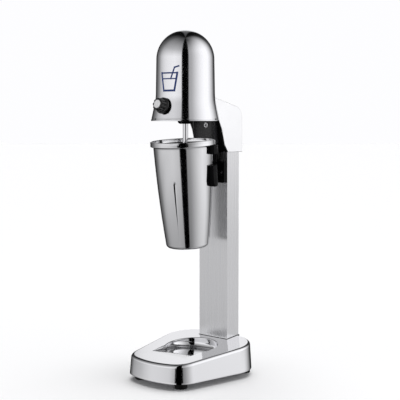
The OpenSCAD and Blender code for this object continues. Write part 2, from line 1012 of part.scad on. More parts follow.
module pot_shaft() {
    color([0.8, 0.8, 0.82]) at_knob(-8.9)
        cylinder(r = 3, h = 8.9 + 12.9);
}

module control_board() {
    color([0.1, 0.35, 0.2]) {
        translate([-24, 85, 385])
            cube([48, 1.6, 20]);
        translate([-20, 79, 389])
            cube([10, 6, 12]);
    }
}

module terminal_block() {
    color([0.9, 0.9, 0.86]) difference() {
        translate([-12, 62, 384.8])
            cube([24, 12, 9]);
        for (x = [-8, 0, 8])
            translate([x, 68, 388])
                cylinder(r = 1.6, h = 10);
    }
}

module capacitor() {
    color([0.85, 0.75, 0.25]) translate([14, 74, 384.5])
        cube([8, 9, 16]);
}

// ---------- cup ----------

// Outer radius of the cup's body at the distance s above its underside: a slightly bellied taper
function cup_r(s) = 36.6 + 0.0918 * (s - 35.5) - 0.000268 * (s - 35.5) * (s - 85.6);

module cup() {
    corner = 6;
    wall_s = [for (i = [0:8]) corner + (rim_s - 0.2 - corner) * i / 8];
    outer = concat(
        arc([cup_r(corner) - corner, corner], corner, -90, 0, 6),
        [for (i = [1:8]) [cup_r(wall_s[i]), wall_s[i]]]
    );
    inner = concat(
        arc([cup_r(corner) - corner, corner], corner - cup_t, -90, 0, 6),
        [for (i = [1:8]) [cup_r(wall_s[i]) - cup_t, wall_s[i] + 0.6]]
    );
    color([0.83, 0.83, 0.85]) at_cup(0) rotate_extrude() polygon(concat(
        [[0, 0]], outer,
        [[rim_r - 1, rim_s], [rim_r, rim_s + 1], [rim_r, cup_len - 0.6], [rim_r - 0.6, cup_len]],
        [[rim_r - 1.2, cup_len], [rim_r - 1.6, cup_len - 0.6], [rim_r - 1.6, rim_s + 1.6]],
        [for (i = [len(inner) - 1:-1:0]) inner[i]],
        [[0, cup_t]]
    ));
}

base_shell();
base_plate();
base_plate_screws();
foot(FEET[0]);  // foot_front_left
foot(FEET[1]);  // foot_front_right
foot(FEET[2]);  // foot_rear_left
foot(FEET[3]);  // foot_rear_right
foot_screws();
column();
column_foot();
column_bolts();
cord_gland();
gland_nut();
supply_lead();
head_arm();
arm_screws();
rear_cover();
cover_spacers();
rear_cover_screws();
neck_guard();
neck_screw();
cup_holder();
holder_screws();
holder_nut_plate();
head_shell();
head_plate();
head_plate_screws();
shell_screws();
bushing_cap();
spindle_bushing();
rubber_mounts();
lower_motor_bracket();
upper_motor_bracket();
motor_bolts();
at_spindle(motor_base_z + 2) ball_bearing();  // lower_bearing
at_spindle(motor_top_z + 1.5) ball_bearing();  // upper_bearing
stator_core();
stator_coils();
brush_holders();
brushes();
brush_springs();
rotor_core();
rotor_windings();
commutator();
cooling_fan();
motor_shaft();
shaft_coupling();
spindle();
agitator();
speed_knob();
knob_cap();
speed_pot();
pot_nut();
pot_shaft();
control_board();
terminal_block();
capacitor();
cup();
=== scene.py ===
"""Looks of the milkshake mixer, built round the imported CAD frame. Metres, +Z up, front towards -Y."""
import json
import math
import bmesh
import bpy
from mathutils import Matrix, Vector
from mathutils.geometry import tessellate_polygon

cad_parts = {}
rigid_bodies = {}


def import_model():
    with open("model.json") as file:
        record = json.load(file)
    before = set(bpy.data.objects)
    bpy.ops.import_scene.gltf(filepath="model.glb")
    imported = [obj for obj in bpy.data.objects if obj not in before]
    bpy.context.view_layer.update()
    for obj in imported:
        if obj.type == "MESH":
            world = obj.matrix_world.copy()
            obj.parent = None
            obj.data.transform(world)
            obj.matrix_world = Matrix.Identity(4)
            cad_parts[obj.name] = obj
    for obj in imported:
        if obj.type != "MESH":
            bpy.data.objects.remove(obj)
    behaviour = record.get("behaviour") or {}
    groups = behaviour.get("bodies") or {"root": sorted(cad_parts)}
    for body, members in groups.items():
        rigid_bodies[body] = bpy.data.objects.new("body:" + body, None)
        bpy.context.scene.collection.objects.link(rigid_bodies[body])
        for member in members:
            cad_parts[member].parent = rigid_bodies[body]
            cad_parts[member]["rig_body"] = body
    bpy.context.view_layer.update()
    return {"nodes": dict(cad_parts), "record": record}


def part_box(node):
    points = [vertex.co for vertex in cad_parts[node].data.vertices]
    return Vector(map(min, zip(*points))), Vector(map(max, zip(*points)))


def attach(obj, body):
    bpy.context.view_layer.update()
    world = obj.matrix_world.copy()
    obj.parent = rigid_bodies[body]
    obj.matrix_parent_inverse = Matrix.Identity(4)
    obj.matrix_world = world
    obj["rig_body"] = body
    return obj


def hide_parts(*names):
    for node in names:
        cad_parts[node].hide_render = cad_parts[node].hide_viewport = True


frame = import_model()
nodes = frame["nodes"]
scene = bpy.context.scene

MM = 0.001
SPINDLE_Y = -8 * MM


# ---------- camera ----------

CAMERA_AT = Vector((0.9677, -1.1003, 0.3957))
LOOK = Vector((-0.6517, 0.7585, 0.0)).normalized()
PITCH = math.radians(3.61)
LENS = 86.2
SHIFT = -0.051
SENSOR = 36.0


def make_camera():
    data = bpy.data.cameras.new("camera")
    data.lens = LENS
    data.sensor_width = SENSOR
    data.shift_y = SHIFT
    data.clip_start = 0.05
    data.clip_end = 100
    camera = bpy.data.objects.new("camera", data)
    aim = LOOK * math.cos(PITCH) - Vector((0, 0, math.sin(PITCH)))
    camera.location = CAMERA_AT
    camera.rotation_euler = aim.to_track_quat("-Z", "Y").to_euler()
    scene.collection.objects.link(camera)
    scene.camera = camera


# ---------- studio ----------

# Half width of the black panel behind the camera, in degrees, and of its wider part near the table
PANEL_HALF = 12.4
PANEL_WIDE = 20.0
# Brightness of the walls against the bearing from the camera's side, in degrees, positive to image right
WALLS = [
    (-180, 0.92), (-174.5, 0.92), (-172, 0.03), (-150, 0.05), (-138, 0.15), (-123, 0.28), (-108, 0.58),
    (-90, 0.80), (-74, 0.90), (-42, 0.97), (-20, 0.86), (-14, 0.80), (-PANEL_HALF, 0.004),
    (PANEL_HALF, 0.004), (14.5, 0.40), (25, 0.45), (36, 0.62), (45, 0.76), (56, 0.92), (67, 1.05), (80, 1.14),
    (98, 1.14), (110, 0.92), (123, 0.60), (135, 0.28), (142, 0.10), (150, 0.05), (172, 0.03),
    (174.5, 0.92), (180, 0.92),
]
# Share of that brightness against the height above the horizon, in degrees: to the left of the camera, to
# its right, and on the far side of the object
HEIGHTS_LEFT = [
    (-90, 0.25), (-36, 0.36), (-26, 0.44), (-21, 0.54), (-16, 0.72), (-13, 0.70), (-9, 0.92), (-4, 0.90),
    (1, 0.97), (8, 1.0), (20, 0.80), (35, 0.52), (60, 0.28), (78, 0.10), (90, 0.05),
]
HEIGHTS_RIGHT = [
    (-90, 0.30), (-30, 0.50), (-16, 0.64), (-10, 0.76), (-4, 0.94), (2, 1.0), (30, 1.0), (45, 0.80),
    (60, 0.48), (76, 0.14), (90, 0.05),
]
HEIGHTS_FAR = [
    (-90, 0.40), (-24, 0.55), (-8, 0.70), (0, 0.85), (12, 0.92), (25, 1.0), (34, 0.30), (50, 0.12),
    (90, 0.05),
]
# Half width of the panel in degrees against the height
PANEL = [
    (-90, PANEL_HALF), (-10, PANEL_HALF), (-8, PANEL_WIDE), (-4.5, PANEL_WIDE), (-2.5, PANEL_HALF),
    (90, PANEL_HALF),
]
# Shade round that wider part, against the bearing either way
SHADE = [(0, 0.5), (20, 0.55), (40, 0.70), (60, 0.84), (80, 0.92), (98, 0.80), (180, 0.80)]
# Bearings between which the left side gives way to the right, and the near side to the far
SIDES_MEET = (-12, 12)
FAR_BEGINS = (135, 155)
WALL_TINT = (0.985, 0.985, 1.0, 1)
# The floor lies round the object and far behind it, and ends a little way in front: across and away from the
# camera, in metres, in the order of the plane's own corners
FLOOR = [(-9, -0.55), (9, -0.55), (-9, 14), (9, 14)]


def math_node(tree, operation, a, b=None):
    node = tree.nodes.new("ShaderNodeMath")
    node.operation = operation
    for socket, value in zip(node.inputs, (a, b)):
        if value is None:
            continue
        if isinstance(value, (int, float)):
            socket.default_value = value
        else:
            tree.links.new(value, socket)
    return node.outputs[0]


def curve_node(tree, value, points, low, high):
    """A float curve through points (x, y), with x running from low to high and y from 0 to 2."""
    scaled = math_node(tree, "DIVIDE", math_node(tree, "SUBTRACT", value, low), high - low)
    node = tree.nodes.new("ShaderNodeFloatCurve")
    node.mapping.use_clip = False
    curve = node.mapping.curves[0]
    spots = [((x - low) / (high - low), y / 2) for x, y in points]
    curve.points[0].location = spots[0]
    curve.points[1].location = spots[-1]
    for spot in spots[1:-1]:
        curve.points.new(*spot)
    for point in curve.points:
        point.handle_type = "VECTOR"
    node.mapping.update()
    tree.links.new(scaled, node.inputs["Value"])
    return math_node(tree, "MULTIPLY", node.outputs[0], 2)


def make_world():
    world = bpy.data.worlds.new("studio")
    scene.world = world
    world.use_nodes = True
    tree = world.node_tree
    tree.nodes.clear()
    where = tree.nodes.new("ShaderNodeTexCoord").outputs["Generated"]
    right = LOOK.cross(Vector((0, 0, 1)))

    def along(axis):
        node = tree.nodes.new("ShaderNodeVectorMath")
        node.operation = "DOT_PRODUCT"
        tree.links.new(where, node.inputs[0])
        node.inputs[1].default_value = axis
        return node.outputs["Value"]

    bearing = math_node(tree, "ARCTAN2", along(right), along(-LOOK))
    bearing = math_node(tree, "DEGREES", bearing)
    height = math_node(tree, "DEGREES", math_node(tree, "ARCSINE", along(Vector((0, 0, 1)))))
    panel = curve_node(tree, height, [(e, w / PANEL_WIDE) for e, w in PANEL], -90, 90)
    panel = math_node(tree, "MULTIPLY", panel, PANEL_WIDE)
    away = math_node(tree, "ABSOLUTE", bearing)
    lit = math_node(tree, "GREATER_THAN", away, panel)
    extra = math_node(tree, "SUBTRACT", panel, PANEL_HALF)
    widened = math_node(tree, "DIVIDE", extra, PANEL_WIDE - PANEL_HALF)
    shade = math_node(tree, "SUBTRACT", 1.0, curve_node(tree, away, SHADE, 0, 180))
    shade = math_node(tree, "SUBTRACT", 1.0, math_node(tree, "MULTIPLY", shade, widened))
    wall = math_node(tree, "MULTIPLY", curve_node(tree, bearing, WALLS, -180, 180), lit)
    wall = math_node(tree, "MULTIPLY", wall, shade)
    left = curve_node(tree, height, HEIGHTS_LEFT, -90, 90)
    right_side = curve_node(tree, height, HEIGHTS_RIGHT, -90, 90)
    far = curve_node(tree, height, HEIGHTS_FAR, -90, 90)

    def blend(value, span, a, b):
        ramp = tree.nodes.new("ShaderNodeMapRange")
        ramp.inputs["From Min"].default_value = span[0]
        ramp.inputs["From Max"].default_value = span[1]
        tree.links.new(value, ramp.inputs["Value"])
        mix = tree.nodes.new("ShaderNodeMix")
        tree.links.new(ramp.outputs[0], mix.inputs["Factor"])
        tree.links.new(a, mix.inputs["A"])
        tree.links.new(b, mix.inputs["B"])
        return mix.outputs["Result"]

    near = blend(bearing, SIDES_MEET, left, right_side)
    share = blend(away, FAR_BEGINS, near, far)
    background = tree.nodes.new("ShaderNodeBackground")
    background.inputs["Color"].default_value = WALL_TINT
    # seen directly, the studio is plain white
    seen = tree.nodes.new("ShaderNodeLightPath").outputs["Is Camera Ray"]
    studio = math_node(tree, "MULTIPLY", wall, share)
    tree.links.new(math_node(tree, "MAXIMUM", studio, seen), background.inputs["Strength"])
    output = tree.nodes.new("ShaderNodeOutputWorld")
    tree.links.new(background.outputs[0], output.inputs["Surface"])


def sky_light(name, aim, spread, strength):
    """A broad soft light from above that polished metal doesn't mirror."""
    data = bpy.data.lights.new(name, "SUN")
    data.angle = math.radians(spread)
    data.energy = strength
    light = bpy.data.objects.new(name, data)
    light.location = (0, 0, 2)
    light.rotation_euler = Vector(aim).to_track_quat("-Z", "Y").to_euler()
    light.visible_glossy = False
    scene.collection.objects.link(light)


def make_studio():
    make_world()
    sky_light("overhead", (0.15, -0.25, -1), 62, 2.55)
    scene.view_settings.view_transform = "Standard"
    bpy.ops.mesh.primitive_plane_add(size=1)
    floor = bpy.context.object
    floor.name = "floor"
    right = LOOK.cross(Vector((0, 0, 1)))
    for vertex, (across, away) in zip(floor.data.vertices, FLOOR):
        vertex.co = right * across + LOOK * away
    floor.data.materials.append(surface("floor_paper", (0.93, 0.93, 0.935), 0.9, specular=0.1))
    floor.visible_glossy = False


# ---------- materials ----------

def surface(name, colour, roughness, metallic=0.0, specular=0.5, coat=0.0, anisotropy=0.0,
            tint=0.0, tint_scale=(40, 40, 40), vary=0.0, vary_scale=(60, 60, 60),
            bump=0.0, bump_scale=(400, 400, 400), tangent=None):
    """A principled material whose colour, roughness and relief each vary with a noise of their own scale."""
    material = bpy.data.materials.new(name)
    material.use_nodes = True
    tree = material.node_tree
    shader = tree.nodes["Principled BSDF"]
    shader.inputs["Base Color"].default_value = (*colour, 1)
    shader.inputs["Roughness"].default_value = roughness
    shader.inputs["Metallic"].default_value = metallic
    shader.inputs["Specular IOR Level"].default_value = specular
    shader.inputs["Coat Weight"].default_value = coat
    shader.inputs["Coat Roughness"].default_value = 0.08
    shader.inputs["Anisotropic"].default_value = anisotropy
    where = tree.nodes.new("ShaderNodeTexCoord").outputs["Object"]

    def noise(scale):
        mapping = tree.nodes.new("ShaderNodeMapping")
        mapping.inputs["Scale"].default_value = scale
        tree.links.new(where, mapping.inputs["Vector"])
        node = tree.nodes.new("ShaderNodeTexNoise")
        node.inputs["Scale"].default_value = 1.0
        node.inputs["Detail"].default_value = 3.0
        tree.links.new(mapping.outputs[0], node.inputs["Vector"])
        return node.outputs["Fac"]

    def spread(value, low, high):
        node = tree.nodes.new("ShaderNodeMapRange")
        node.inputs["From Min"].default_value = 0.3
        node.inputs["From Max"].default_value = 0.7
        node.inputs["To Min"].default_value = low
        node.inputs["To Max"].default_value = high
        tree.links.new(value, node.inputs["Value"])
        return node.outputs[0]

    if tint:
        mix = tree.nodes.new("ShaderNodeMix")
        mix.data_type = "RGBA"
        mix.inputs["A"].default_value = (*[c * (1 - tint) for c in colour], 1)
        mix.inputs["B"].default_value = (*[min(1, c * (1 + tint)) for c in colour], 1)
        tree.links.new(spread(noise(tint_scale), 0, 1), mix.inputs["Factor"])
        tree.links.new(mix.outputs["Result"], shader.inputs["Base Color"])
    if vary:
        rough = spread(noise(vary_scale), roughness * (1 - vary), min(1, roughness * (1 + vary)))
        tree.links.new(rough, shader.inputs["Roughness"])
    if bump:
        node = tree.nodes.new("ShaderNodeBump")
        node.inputs["Strength"].default_value = 1.0
        node.inputs["Distance"].default_value = bump
        tree.links.new(noise(bump_scale), node.inputs["Height"])
        tree.links.new(node.outputs[0], shader.inputs["Normal"])
    if tangent:
        node = tree.nodes.new("ShaderNodeTangent")
        node.direction_type = "RADIAL"
        node.axis = tangent
        tree.links.new(node.outputs[0], shader.inputs["Tangent"])
    return material


def make_materials():
    """One material for each of the record's slots."""
    polished = dict(metallic=1.0, vary=0.25, vary_scale=(30, 30, 30))
    return {
        "polished_base": surface("polished_base", (0.90, 0.90, 0.915), 0.07, **polished,
                                 bump=0.000002, bump_scale=(300, 300, 300)),
        "polished_head": surface("polished_head", (0.88, 0.88, 0.90), 0.10, **polished,
                                 bump=0.0000004, bump_scale=(60, 60, 900)),
        "polished_cup": surface("polished_cup", (0.86, 0.86, 0.87), 0.10, **polished,
                                bump=0.0000004, bump_scale=(900, 900, 30)),
        "brushed_column": surface("brushed_column", (0.74, 0.74, 0.75), 0.26, metallic=1.0, anisotropy=0.6,
                                  tint=0.03, tint_scale=(900, 900, 6), vary=0.18, vary_scale=(1500, 1500, 8),
                                  bump=0.00001, bump_scale=(2600, 2600, 10), tangent="Z"),
        "satin_cover": surface("satin_cover", (0.975, 0.975, 0.985), 0.20, metallic=0.9,
                               tint=0.008, vary=0.12, bump=0.000012, bump_scale=(900, 900, 900)),
        "black_moulding": surface("black_moulding", (0.004, 0.004, 0.0045), 0.38, specular=0.06, vary=0.15,
                                  tint=0.1, bump=0.000012, bump_scale=(1500, 1500, 1500)),
        "charcoal_guard": surface("charcoal_guard", (0.034, 0.034, 0.037), 0.26, specular=0.5, vary=0.15,
                                  tint=0.08, bump=0.00001, bump_scale=(1500, 1500, 1500)),
        "black_casting": surface("black_casting", (0.006, 0.006, 0.0065), 0.36, specular=0.2, vary=0.2,
                                 tint=0.1, bump=0.00003, bump_scale=(700, 700, 700)),
        "foot_rubber": surface("foot_rubber", (0.004, 0.004, 0.004), 0.55, specular=0.15, vary=0.2, tint=0.15,
                               bump=0.00003, bump_scale=(900, 900, 900)),
        "knob_plastic": surface("knob_plastic", (0.003, 0.003, 0.003), 0.14, specular=0.5, vary=0.2, tint=0.1,
                                bump=0.000008, bump_scale=(2000, 2000, 2000)),
        "bright_trim": surface("bright_trim", (0.97, 0.97, 0.975), 0.34, metallic=0.55, vary=0.2,
                               bump=0.000004, bump_scale=(3000, 3000, 3000)),
        "plain_steel": surface("plain_steel", (0.58, 0.58, 0.60), 0.32, metallic=1.0, vary=0.3, tint=0.06),
        "rod_steel": surface("rod_steel", (0.80, 0.80, 0.81), 0.07, metallic=1.0, vary=0.25,
                             bump=0.000003, bump_scale=(300, 300, 2500)),
        "motor_iron": surface("motor_iron", (0.30, 0.31, 0.33), 0.45, metallic=1.0, vary=0.3, tint=0.1,
                              bump=0.00005, bump_scale=(20, 20, 2500)),
        "copper": surface("copper", (0.62, 0.26, 0.10), 0.34, metallic=0.8, vary=0.3, tint=0.15,
                          bump=0.0001, bump_scale=(200, 200, 1800)),
        "brass_parts": surface("brass_parts", (0.76, 0.56, 0.24), 0.30, metallic=1.0, vary=0.3, tint=0.08),
        "carbon": surface("carbon", (0.03, 0.03, 0.032), 0.6, vary=0.2, tint=0.2,
                          bump=0.00004, bump_scale=(1200, 1200, 1200)),
        "cast_alloy": surface("cast_alloy", (0.60, 0.60, 0.62), 0.48, metallic=0.9, vary=0.25, tint=0.08,
                              bump=0.00008, bump_scale=(900, 900, 900)),
        "insulation": surface("insulation", (0.80, 0.76, 0.62), 0.45, vary=0.2, tint=0.06,
                              bump=0.00002, bump_scale=(900, 900, 900)),
        "lead_sheath": surface("lead_sheath", (0.02, 0.02, 0.022), 0.5, vary=0.2, tint=0.1,
                               bump=0.00002, bump_scale=(900, 900, 900)),
        "board_green": surface("board_green", (0.02, 0.16, 0.06), 0.3, vary=0.2, tint=0.2,
                               tint_scale=(500, 500, 500), coat=0.3),
    }


# ---------- mesh tools ----------

def mesh_piece(name, verts, faces, slot, node, sharp=38.0):
    """A smooth-shaded piece from points and faces. It stands for the CAD node, if one is named."""
    mesh = bpy.data.meshes.new(name)
    mesh.from_pydata([tuple(v) for v in verts], [], faces)
    mesh.validate()
    work = bmesh.new()
    work.from_mesh(mesh)
    bmesh.ops.remove_doubles(work, verts=work.verts, dist=1e-7)
    bmesh.ops.dissolve_degenerate(work, edges=work.edges, dist=1e-7)
    bmesh.ops.recalc_face_normals(work, faces=work.faces)
    for edge in work.edges:
        edge.smooth = not (len(edge.link_faces) == 2 and edge.calc_face_angle(0) > math.radians(sharp))
    for face in work.faces:
        face.smooth = True
    work.to_mesh(mesh)
    work.free()
    piece = bpy.data.objects.new(name, mesh)
    scene.collection.objects.link(piece)
    mesh.materials.append(MATERIALS[slot])
    weigh = piece.modifiers.new("weigh", "WEIGHTED_NORMAL")
    weigh.keep_sharp = True
    if node:
        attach(piece, nodes[node]["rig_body"])
        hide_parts(node)
    return piece


def rings_to_faces(count, size):
    """Quads between successive closed rings of `size` points, and from the last ring back to the first."""
    faces = []
    for i in range(count):
        a, b = i * size, ((i + 1) % count) * size
        for j in range(size):
            k = (j + 1) % size
            faces.append((a + j, a + k, b + k, b + j))
    return faces


def even_angles(count):
    return [2 * math.pi * j / count for j in range(count)]


def revolve(profile, angles, shift=None):
    """Points and faces of a closed profile [(r, z)] turned about Z. shift(r, z, angle) gives a new radius."""
    verts = []
    for r, z in profile:
        for angle in angles:
            radius = shift(r, z, angle) if shift else r
            verts.append(Vector((radius * math.cos(angle), radius * math.sin(angle), z)))
    return verts, rings_to_faces(len(profile), len(angles))


def arc(cx, cy, r, a0, a1, steps):
    """Points on an arc between two angles in degrees."""
    out = []
    for i in range(steps + 1):
        a = math.radians(a0 + (a1 - a0) * i / steps)
        out.append((cx + r * math.cos(a), cy + r * math.sin(a)))
    return out


def soften(node, width):
    """Rounds the edges of a CAD node with modifiers, and shades it smooth. Its points and faces stay."""
    item = nodes[node]
    if "custom_normal" in item.data.attributes:
        item.data.attributes.remove(item.data.attributes["custom_normal"])
    for polygon in item.data.polygons:
        polygon.use_smooth = True
    weld = item.modifiers.new("weld", "WELD")
    weld.merge_threshold = 2e-6
    merge = item.modifiers.new("merge", "DECIMATE")
    merge.decimate_type = "DISSOLVE"
    merge.angle_limit = math.radians(0.6)
    bevel = item.modifiers.new("bevel", "BEVEL")
    bevel.width = width * MM
    bevel.segments = 3
    bevel.limit_method = "ANGLE"
    bevel.angle_limit = math.radians(32)
    bevel.use_clamp_overlap = node not in UNCLAMPED
    weigh = item.modifiers.new("weigh", "WEIGHTED_NORMAL")
    weigh.mode = "FACE_AREA"
    weigh.weight = 100


# ---------- base ----------

# Millimetres. Each corner of the footprint is an arc: its centre's x and y, then its radius
BASE_FRONT = (25.7, -51.8, 37.0)
BASE_REAR = (31.4, 38.2, 48.5)
BASE_REACH = 92.5
BASE_Z = 9.5
TOP_Z = 44.7
SLOPE = 0.0835
DRAFT = 2.2
FILLET = 4.6
LIP = 0.7
RECESS_R = 41.0
RECESS_Y = 5.0
CHANNEL_MID = 37.0
CHANNEL_FRONT = 34.0
CHANNEL_Y = -48.0
FALL = 0.091
WAIST_ROUND = 2.4
COLUMN_GAP = 1.0
GAP_REAR = 82.0
SEAL = 0.95


def top_z(y):
    """Height of the sloping top."""
    return TOP_Z + SLOPE * y


def floor_z(y):
    """Height of the keyhole's floor, which falls towards the rear."""
    return top_z(CHANNEL_Y) - FALL * (y - CHANNEL_Y)


def bow(corner, reach):
    """Radius of the shallow arc that runs between a corner and its mirror image."""
    x, _, r = corner
    return (x * x + reach * reach - r * r) / (2 * (reach - r))


def normal_arc(cx, cy, r, a0, a1, steps):
    """Points on an arc with their outward normals, in degrees."""
    out = []
    for i in range(steps + 1):
        a = math.radians(a0 + (a1 - a0) * i / steps)
        n = Vector((math.cos(a), math.sin(a)))
        out.append((Vector((cx, cy)) + r * n, n))
    return out


def base_outline():
    """The footprint as (point, outward normal), anticlockwise from the middle of the front."""
    fx, fy, fr = BASE_FRONT
    rx, ry, rr = BASE_REAR
    front, rear = bow(BASE_FRONT, BASE_REACH + fy), bow(BASE_REAR, BASE_REACH - ry)
    a_front = math.degrees(math.atan2(fy - (front - BASE_REACH), fx))
    a_rear = math.degrees(math.atan2(ry - (BASE_REACH - rear), rx))
    away = Vector((fx - rx, fy - ry))
    side = math.degrees(math.atan2(away.y, away.x) + math.acos((rr - fr) / away.length))
    half = normal_arc(0, front - BASE_REACH, front, -90, a_front, 16)
    half += normal_arc(fx, fy, fr, a_front, side, 40)[1:]
    half += normal_arc(rx, ry, rr, side, a_rear, 44)
    half += normal_arc(0, BASE_REACH - rear, rear, a_rear, 90, 16)[1:]
    mirrored = [(Vector((-p.x, p.y)), Vector((-n.x, n.y))) for p, n in reversed(half[1:-1])]
    return half + mirrored


def channel_x(y):
    return CHANNEL_MID - (CHANNEL_MID - CHANNEL_FRONT) * (RECESS_Y - y) / (RECESS_Y - CHANNEL_Y)


def recess_outline():
    """The keyhole's edge as (point, normal into the pocket), with its two waists rounded off."""
    low, high = CHANNEL_Y, RECESS_Y
    for _ in range(60):
        y = (low + high) / 2
        if math.hypot(channel_x(y) + WAIST_ROUND, y - RECESS_Y) > RECESS_R + WAIST_ROUND:
            low = y
        else:
            high = y
    cx, cy = channel_x(y) + WAIST_ROUND, y
    meet = math.degrees(math.atan2(cy - RECESS_Y, cx))
    right = []
    slant = Vector((CHANNEL_MID - CHANNEL_FRONT, RECESS_Y - CHANNEL_Y)).normalized()
    inward = Vector((-slant.y, slant.x))
    side_steps, front_steps = 25, 16
    for i in range(side_steps):
        y = CHANNEL_Y + (cy - CHANNEL_Y) * i / side_steps
        right.append((Vector((channel_x(y), y)), inward))
    right += normal_arc(cx, cy, WAIST_ROUND, 180, 180 + meet, 8)
    for p, n in normal_arc(0, RECESS_Y, RECESS_R, meet, 90, 72)[1:]:
        right.append((p, -n))
    left = [(Vector((-p.x, p.y)), Vector((-n.x, n.y))) for p, n in reversed(right[:-1])]
    front = []
    for i in range(1, front_steps):
        x = -CHANNEL_FRONT + 2 * CHANNEL_FRONT * i / front_steps
        front.append((Vector((x, CHANNEL_Y)), Vector((0, 1))))
    return right + left + front


def build_base():
    """One shell: drafted wall, rounded top edge, sloping top, keyhole pocket and a gap for the column."""
    verts, faces = [], []

    def add(points):
        start = len(verts)
        verts.extend(points)
        return list(range(start, len(verts)))

    def bridge(a, b):
        for i in range(len(a)):
            j = (i + 1) % len(a)
            faces.append((a[i], a[j], b[j], b[i]))

    outline = base_outline()

    def wall_ring(inset, height):
        ring = []
        for p, n in outline:
            q = p - n * inset
            ring.append(Vector((q.x, q.y, height(q.y))))
        return add(ring)

    rings = [
        wall_ring(5.0, lambda y: BASE_Z + 1.2), wall_ring(2.2, lambda y: BASE_Z + 1.2),
        wall_ring(2.0, lambda y: BASE_Z), wall_ring(LIP, lambda y: BASE_Z),
        wall_ring(0.2, lambda y: BASE_Z + 0.2), wall_ring(0.0, lambda y: BASE_Z + LIP),
    ]
    for t in (0.1, 0.3, 0.5, 0.7, 0.9, 1.0):
        low = BASE_Z + LIP
        rings.append(wall_ring(DRAFT * t, lambda y, t=t: low + (top_z(y) - FILLET - low) * t))
    for i in range(1, 11):
        a = math.radians(9 * i)
        inset = DRAFT + FILLET * (1 - math.cos(a))
        rings.append(wall_ring(inset, lambda y, a=a: top_z(y) - FILLET * (1 - math.sin(a))))
    rings.append(wall_ring(DRAFT + FILLET + 1.2, top_z))
    for a, b in zip(rings, rings[1:]):
        bridge(a, b)

    pocket = recess_outline()

    def pocket_ring(offset, level):
        """offset and level are functions of the wall's height at that point."""
        ring = []
        for p, n in pocket:
            h = max(top_z(p.y) - floor_z(p.y), 0.0)
            q = p + n * offset(h)
            z_top, z_floor = top_z(q.y), floor_z(q.y)
            ring.append(Vector((q.x, q.y, level(h, z_top, min(z_floor, z_top)))))
        return add(ring)

    def edge_r(h):
        return min(1.3, 0.3 * h)

    def foot_r(h):
        return min(8.5, 0.75 * h)

    loops = [pocket_ring(lambda h: -edge_r(h) * 1.8, lambda h, t, f: t)]
    for i in range(6):
        a = math.radians(90 - 18 * i)
        loops.append(pocket_ring(
            lambda h, a=a: -edge_r(h) * (1 - math.cos(a)),
            lambda h, t, f, a=a: t - edge_r(h) * (1 - math.sin(a))))
    loops.append(pocket_ring(lambda h: 0.0, lambda h, t, f: f + (t - f) * 0.5 + 0.25 * foot_r(h)))
    for i in range(9):
        a = math.radians(90 * i / 8)
        loops.append(pocket_ring(
            lambda h, a=a: foot_r(h) * (1 - math.cos(a)),
            lambda h, t, f, a=a: f + foot_r(h) * (1 - math.sin(a))))
    loops.append(pocket_ring(lambda h: foot_r(h) * 1.25, lambda h, t, f: f))
    for a, b in zip(loops, loops[1:]):
        bridge(b, a)

    low, high = (Vector(c) * 1000 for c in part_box("column"))
    hole = [(low.x, low.y), (high.x, low.y), (high.x, high.y), (low.x, high.y)]
    grow = [(-1, -1), (1, -1), (1, 1), (-1, 1)]
    gap = []
    for (x, y), (sx, sy) in zip(hole, grow):
        gap.append((x + COLUMN_GAP * sx, min(y + COLUMN_GAP * sy, GAP_REAR)))
    slot_top = add([Vector((x, y, top_z(y))) for x, y in gap])
    slot_deep = add([Vector((x, y, top_z(y) - 3)) for x, y in gap])
    bridge(slot_deep, slot_top)

    def fill(*polygons):
        flat = [[Vector((verts[i].x, verts[i].y, 0)) for i in loop] for loop in polygons]
        index = [i for loop in polygons for i in loop]
        for a, b, c in tessellate_polygon(flat):
            faces.append((index[a], index[b], index[c]))

    fill(rings[-1], loops[0], slot_top)
    fill(loops[-1])
    fill(rings[0])
    mesh_piece("base_casting", [v * MM for v in verts], faces, "polished_base", "base_shell")


def build_seal():
    """A thin rubber strip that closes the gap round the column's foot."""
    low, high = (Vector(c) * 1000 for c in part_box("column"))
    rows = []
    for grow in (0.05, SEAL):
        corners = [(low.x - grow, low.y - grow), (high.x + grow, low.y - grow),
                   (high.x + grow, high.y + grow), (low.x - grow, high.y + grow)]
        for lift in (-2.5, 0.35):
            rows.append([Vector((x, y, top_z(y) + lift)) for x, y in corners])
    inner_low, inner_high, outer_low, outer_high = rows
    verts = inner_low + inner_high + outer_high + outer_low
    faces = rings_to_faces(4, 4)
    piece = mesh_piece("foot_seal", [v * MM for v in verts], faces, "foot_rubber", None)
    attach(piece, "frame")


# ---------- motor head ----------

HEAD_R = 44.0
WAIST_R = 45.0
SKIRT_R = 52.3
HEAD_Z = 393.0
TOP = 530.0
HEAD_T = 1.2
FLARE = math.radians(12)
WAIST_Z = HEAD_Z + (SKIRT_R - WAIST_R) / math.tan(FLARE)
WAIST_BLEND = 1.2
EMBLEM_Z = 452.0
EMBLEM_TURN = 8.0
EMBLEM_LIFT = 0.06
# Ends of each bar across and up from the emblem's middle, and its width
EMBLEM_BARS = [
    ((-14, 12), (-9.5, -14), 3.0), ((-9.5, -14), (9.5, -14), 3.0), ((9.5, -14), (14, 12), 3.0),
    ((-14, 12), (14, 12), 2.2), ((-12, 3.5), (12, 3.5), 1.8), ((3.5, 3.5), (9.5, 20), 2.3),
    ((9.5, 20), (16, 22), 2.3),
]


def head_radius(z):
    """Outer radius of the head below its dome: a straight part, a short blend and the flare."""
    dome_z = TOP - HEAD_R
    straight = WAIST_R - (WAIST_R - HEAD_R) * (z - WAIST_Z) / (dome_z - WAIST_Z)
    flare = SKIRT_R - (z - HEAD_Z) * math.tan(FLARE)
    near = max(0.0, 1 - abs(straight - flare) / WAIST_BLEND)
    return max(straight, flare) + 0.25 * WAIST_BLEND * near ** 2


